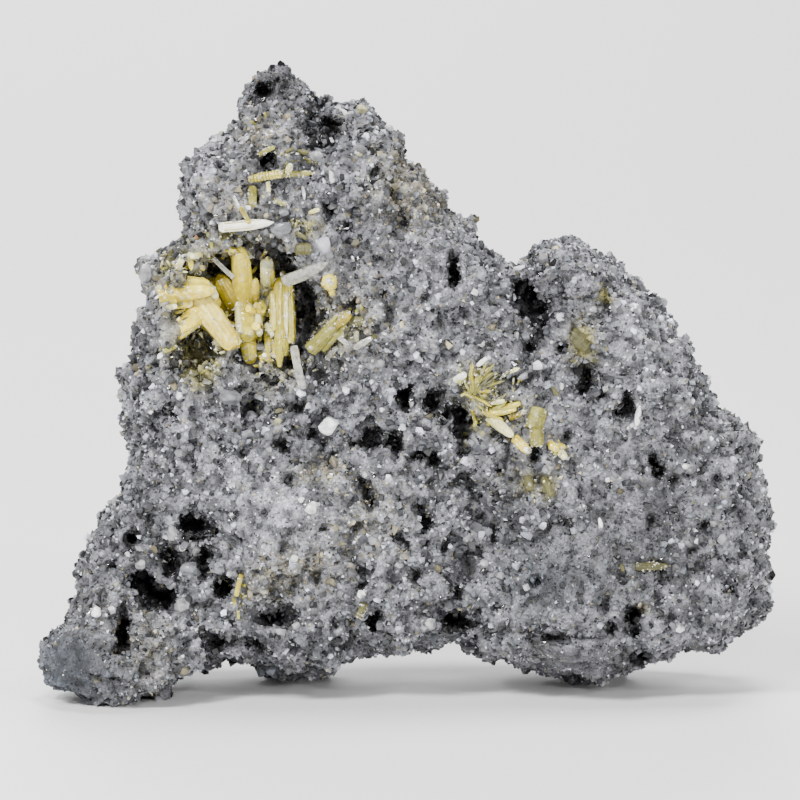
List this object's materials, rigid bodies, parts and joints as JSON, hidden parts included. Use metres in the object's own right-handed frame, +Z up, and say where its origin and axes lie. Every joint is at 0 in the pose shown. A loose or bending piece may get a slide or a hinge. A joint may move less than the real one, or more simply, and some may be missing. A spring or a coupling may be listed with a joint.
{
  "type": "mimetite crystal specimen",
  "caption": "Loose hand specimen: yellow mimetite crystals crowded in and around a small vug in a lump of grey drusy quartz rock, standing on three flat spots.",
  "frame": {"origin": "on the surface that the lump stands on, under the middle of its box", "axes": "+Z up, +X to the right when facing the crystals, -Y towards the viewer of the crystals"},
  "size_m": [0.0553, 0.024, 0.0472],
  "materials": {
    "rock": "sugary quartz druse, matte with small sparkles",
    "yellow": "resinous, translucent, striated along its length",
    "olive": "resinous, darker and less clear",
    "pale": "frosty white to cream, glossy",
    "clear": "colourless, glossy, see-through"
  },
  "bodies": {
    "root": {"quartz_matrix": "rock", "vug_crystal_crust": "yellow", "end_on_crystal": "yellow", "barred_needle": "yellow", "upper_fan_crystals": "yellow", "lower_fan_crystals": "yellow", "right_spindle_crystal": "olive", "olive_block_crystal": "olive", "dark_needle": "olive", "flat_prism": "olive", "low_right_prism": "olive", "low_left_prism": "olive", "low_centre_prism": "olive", "white_barrel_crystal": "pale", "square_prism": "pale", "top_needle": "pale", "small_bullet_crystal": "pale", "end_on_pair": "pale", "clear_prism": "clear"}
  },
  "joints": []
}
